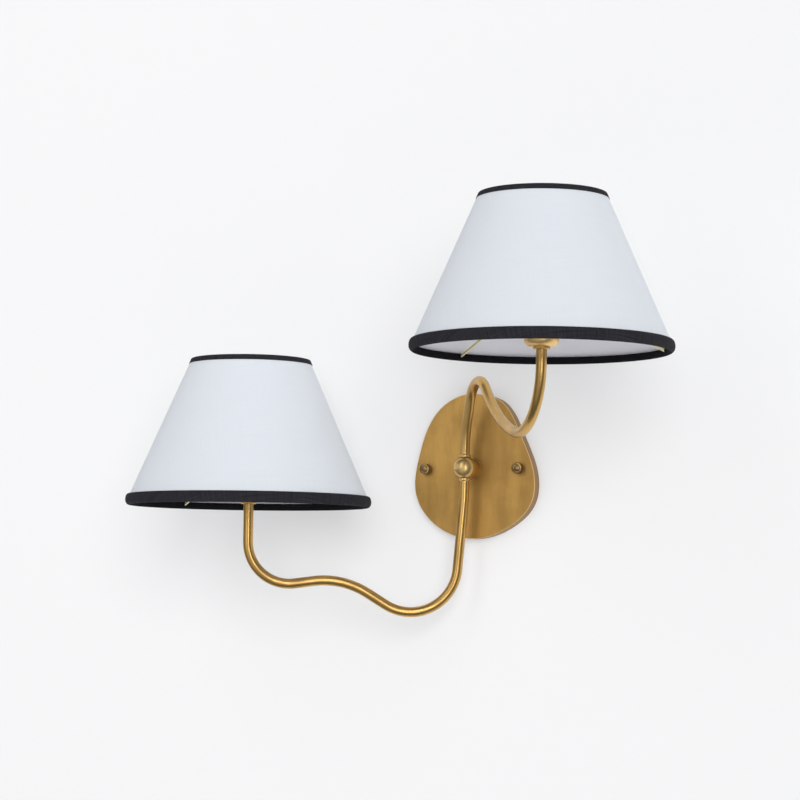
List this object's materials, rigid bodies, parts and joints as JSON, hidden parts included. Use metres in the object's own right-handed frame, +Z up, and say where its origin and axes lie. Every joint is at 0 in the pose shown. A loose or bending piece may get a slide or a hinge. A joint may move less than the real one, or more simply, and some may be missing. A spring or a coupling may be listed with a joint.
{
  "type": "double arm wall sconce",
  "caption": "Wall light with an egg-shaped brass backplate and a ball hub, from which bent tube arms swing, each carrying a tapered white shade with black edging.",
  "frame": {"origin": "on the wall plane, behind the centre of the ball hub, midway between the crossbar's box-screw slots", "axes": "+Y into the wall, +X to the right as seen from the room, +Z up"},
  "size_m": [0.6061, 0.3492, 0.4098],
  "materials": {
    "plate_brass": "brushed antique",
    "turned_brass": "satin antique",
    "tube_brass": "satin antique",
    "cup_brass": "satin",
    "dark_brass": "aged",
    "contact_brass": "bright",
    "plated_wire": "pale brass plated",
    "zinc_steel": "zinc plated",
    "earth_green": "green lacquer",
    "black_phenolic": "moulded",
    "white_linen": "woven, lined",
    "black_tape": "woven tape"
  },
  "bodies": {
    "wall_mount": {"crossbar": "zinc_steel", "plate_studs": "zinc_steel", "stud_jam_nuts": "zinc_steel", "earth_screw": "earth_green", "backplate": "plate_brass", "thumb_nuts": "dark_brass", "hub_flange": "turned_brass", "hub_stem": "zinc_steel", "stem_washer": "zinc_steel", "stem_nut": "zinc_steel", "hub_ball": "turned_brass"},
    "upper_arm": {"upper_swivel_collar": "turned_brass", "upper_swivel_clip": "zinc_steel", "upper_arm_tube": "tube_brass", "upper_seat_washer": "tube_brass", "upper_socket_cup": "cup_brass", "upper_tube_nut": "zinc_steel", "upper_lampholder": "black_phenolic", "upper_screw_shell": "contact_brass", "upper_centre_contact": "contact_brass", "upper_shade_ring_nut": "black_phenolic", "upper_spider_hub": "plated_wire", "upper_spider_arms": "plated_wire", "upper_bottom_ring_wire": "plated_wire", "upper_top_ring_wire": "plated_wire", "upper_shade_cover": "white_linen", "upper_bottom_trim": "black_tape", "upper_top_trim": "black_tape"},
    "lower_arm": {"lower_swivel_collar": "turned_brass", "lower_swivel_clip": "zinc_steel", "lower_arm_tube": "tube_brass", "lower_seat_washer": "tube_brass", "lower_socket_cup": "cup_brass", "lower_tube_nut": "zinc_steel", "lower_lampholder": "black_phenolic", "lower_screw_shell": "contact_brass", "lower_centre_contact": "contact_brass", "lower_shade_ring_nut": "black_phenolic", "lower_spider_hub": "plated_wire", "lower_spider_arms": "plated_wire", "lower_bottom_ring_wire": "plated_wire", "lower_top_ring_wire": "plated_wire", "lower_shade_cover": "white_linen", "lower_bottom_trim": "black_tape", "lower_top_trim": "black_tape"}
  },
  "joints": [
    {"name": "upper_arm_swivel", "type": "hinge", "parent": "wall_mount", "child": "upper_arm", "pos_m": [0, -0.035, 0], "axis": [0, 0, 1], "range_deg": [-14, 24]},
    {"name": "lower_arm_swivel", "type": "hinge", "parent": "wall_mount", "child": "lower_arm", "pos_m": [0, -0.035, 0], "axis": [0, 0, 1], "range_deg": [-3, 33]}
  ]
}
